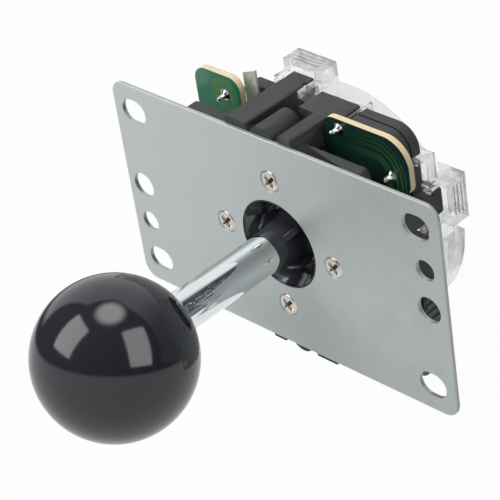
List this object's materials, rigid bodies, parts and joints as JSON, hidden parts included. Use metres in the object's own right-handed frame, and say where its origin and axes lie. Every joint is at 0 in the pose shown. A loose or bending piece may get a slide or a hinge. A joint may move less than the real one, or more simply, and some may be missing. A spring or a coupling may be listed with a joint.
{
  "type": "arcade joystick lever",
  "caption": "Ball-top arcade joystick lever on a slotted mounting plate, with sprung pivot, switches on a circuit board and a clear square gate.",
  "frame": {"origin": "centre of the mounting plate's face that meets the panel, on the shaft axis", "axes": "+Z along the shaft towards the ball, +X along the plate's long side, +Y along its short side"},
  "size_m": [0.095, 0.062, 0.0929],
  "materials": {
    "plate_steel": "zinc-plated and lacquered, satin",
    "screw_steel": "plated",
    "black_moulding": "fine satin",
    "pivot_black": "smooth",
    "liner_white": "smooth",
    "board_green": "solder mask over glass laminate",
    "switch_black": "satin",
    "plunger_red": "satin",
    "terminal_metal": "tinned",
    "header_white": "satin",
    "clear_moulding": "clear moulded plastic",
    "dial_clear": "clear moulded plastic",
    "chrome": "polished chromium plate",
    "spring_steel": "drawn wire",
    "clip_steel": "blued",
    "ball_black": "polished"
  },
  "bodies": {
    "base": {"mounting_plate": "plate_steel", "plate_screws": "screw_steel", "housing": "black_moulding", "circuit_board": "board_green", "switch_cradle": "black_moulding", "gate_frame": "clear_moulding", "gate_plate": "dial_clear", "connector_header": "header_white", "connector_pin_1": "terminal_metal", "connector_pin_2": "terminal_metal", "connector_pin_3": "terminal_metal", "connector_pin_4": "terminal_metal", "connector_pin_5": "terminal_metal", "switch_north": "switch_black", "common_terminal_north": "terminal_metal", "contact_terminal_north": "terminal_metal", "switch_east": "switch_black", "common_terminal_east": "terminal_metal", "contact_terminal_east": "terminal_metal", "switch_south": "switch_black", "common_terminal_south": "terminal_metal", "contact_terminal_south": "terminal_metal", "switch_west": "switch_black", "common_terminal_west": "terminal_metal", "contact_terminal_west": "terminal_metal"},
    "pivot_carrier": {"pivot_liner": "liner_white"},
    "lever": {"pivot_ball": "pivot_black", "actuator": "pivot_black", "spring_retainer": "liner_white", "centering_spring": "spring_steel"},
    "handle": {"shaft": "chrome", "ball_top": "ball_black", "clip_washer": "screw_steel", "retaining_clip": "clip_steel"},
    "plunger_north_body": {"plunger_north": "plunger_red"},
    "plunger_east_body": {"plunger_east": "plunger_red"},
    "plunger_south_body": {"plunger_south": "plunger_red"},
    "plunger_west_body": {"plunger_west": "plunger_red"}
  },
  "joints": [
    {"name": "tilt_x", "type": "hinge", "parent": "base", "child": "pivot_carrier", "pos_m": [0, 0, -0.007], "axis": [1, 0, 0], "range_deg": [-9.5, 9.5], "stiffness_Nm_per_rad": 0.6},
    {"name": "tilt_y", "type": "hinge", "parent": "pivot_carrier", "child": "lever", "pos_m": [0, 0, -0.007], "axis": [0, 1, 0], "range_deg": [-9.5, 9.5], "stiffness_Nm_per_rad": 0.6, "deforming": ["centering_spring"]},
    {"name": "shaft_spin", "type": "hinge", "parent": "lever", "child": "handle", "pos_m": [0, 0, -0.007], "axis": [0, 0, 1], "continuous": true},
    {"name": "plunger_north_slide", "type": "slide", "parent": "base", "child": "plunger_north_body", "axis": [0, 1, 0], "range_m": [-0.0005, 0.0005]},
    {"name": "plunger_east_slide", "type": "slide", "parent": "base", "child": "plunger_east_body", "axis": [1, 0, 0], "range_m": [-0.0005, 0.0005]},
    {"name": "plunger_south_slide", "type": "slide", "parent": "base", "child": "plunger_south_body", "axis": [0, -1, 0], "range_m": [-0.0005, 0.0005]},
    {"name": "plunger_west_slide", "type": "slide", "parent": "base", "child": "plunger_west_body", "axis": [-1, 0, 0], "range_m": [-0.0005, 0.0005]}
  ],
  "couplings": [
    {"joint": "plunger_north_slide", "follows": "tilt_x", "m_per_rad": 0.0030156},
    {"joint": "plunger_east_slide", "follows": "tilt_y", "m_per_rad": -0.0030156},
    {"joint": "plunger_south_slide", "follows": "tilt_x", "m_per_rad": -0.0030156},
    {"joint": "plunger_west_slide", "follows": "tilt_y", "m_per_rad": 0.0030156}
  ]
}
